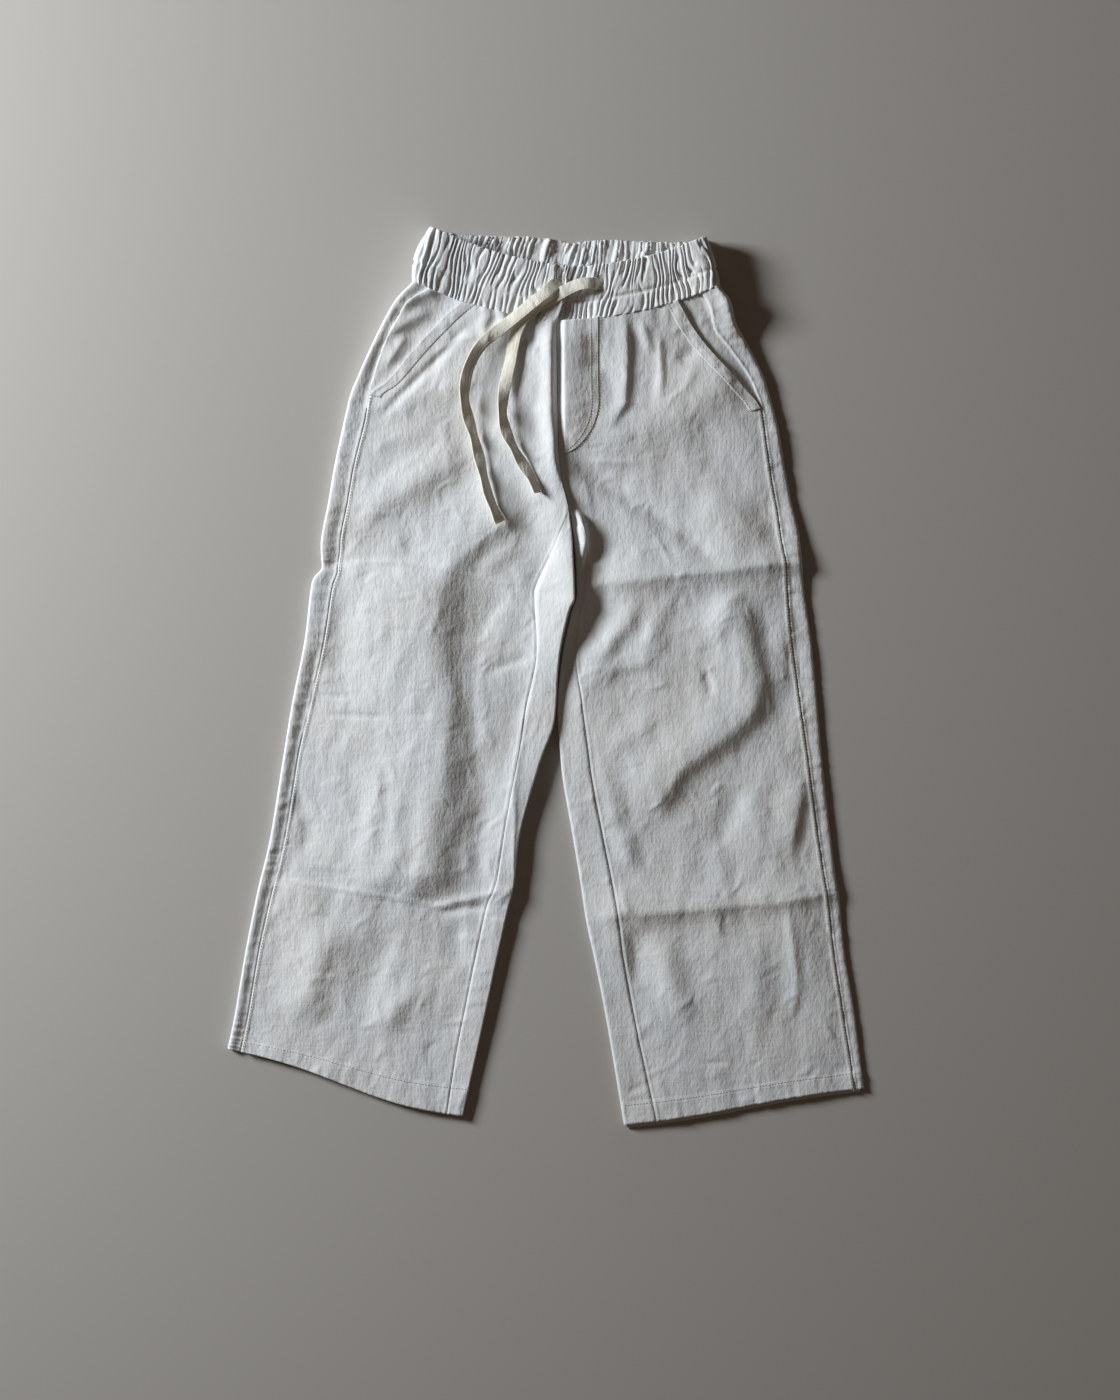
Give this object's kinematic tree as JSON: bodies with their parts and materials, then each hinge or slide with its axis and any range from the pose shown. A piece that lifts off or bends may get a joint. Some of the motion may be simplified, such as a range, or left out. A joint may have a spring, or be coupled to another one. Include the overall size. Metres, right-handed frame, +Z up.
{
  "type": "drawstring trousers",
  "caption": "Child's wide-leg drawstring trousers in washed linen, laid flat with the front up: gathered elastic waistband, slanted pockets, mock fly and a loose flat drawstring.",
  "frame": {"origin": "on the surface that the garment lies on, under the middle of its outline", "axes": "+X to the wearer's left, +Y from the hems to the waist, +Z up off the surface, with the front of the garment up"},
  "size_m": [0.477, 0.6716, 0.0228],
  "materials": {
    "linen": "matt washed plain weave",
    "linen_tape": "matt washed plain weave"
  },
  "bodies": {
    "root": {"waistband": "linen", "front_right": "linen", "front_left": "linen", "back_right": "linen", "back_left": "linen", "pocket_facing_right": "linen", "pocket_facing_left": "linen", "pocket_band_right": "linen", "pocket_band_left": "linen", "mock_fly": "linen", "buttonhole_right": "linen", "buttonhole_left": "linen", "drawstring_right": "linen_tape", "drawstring_left": "linen_tape"}
  },
  "joints": []
}
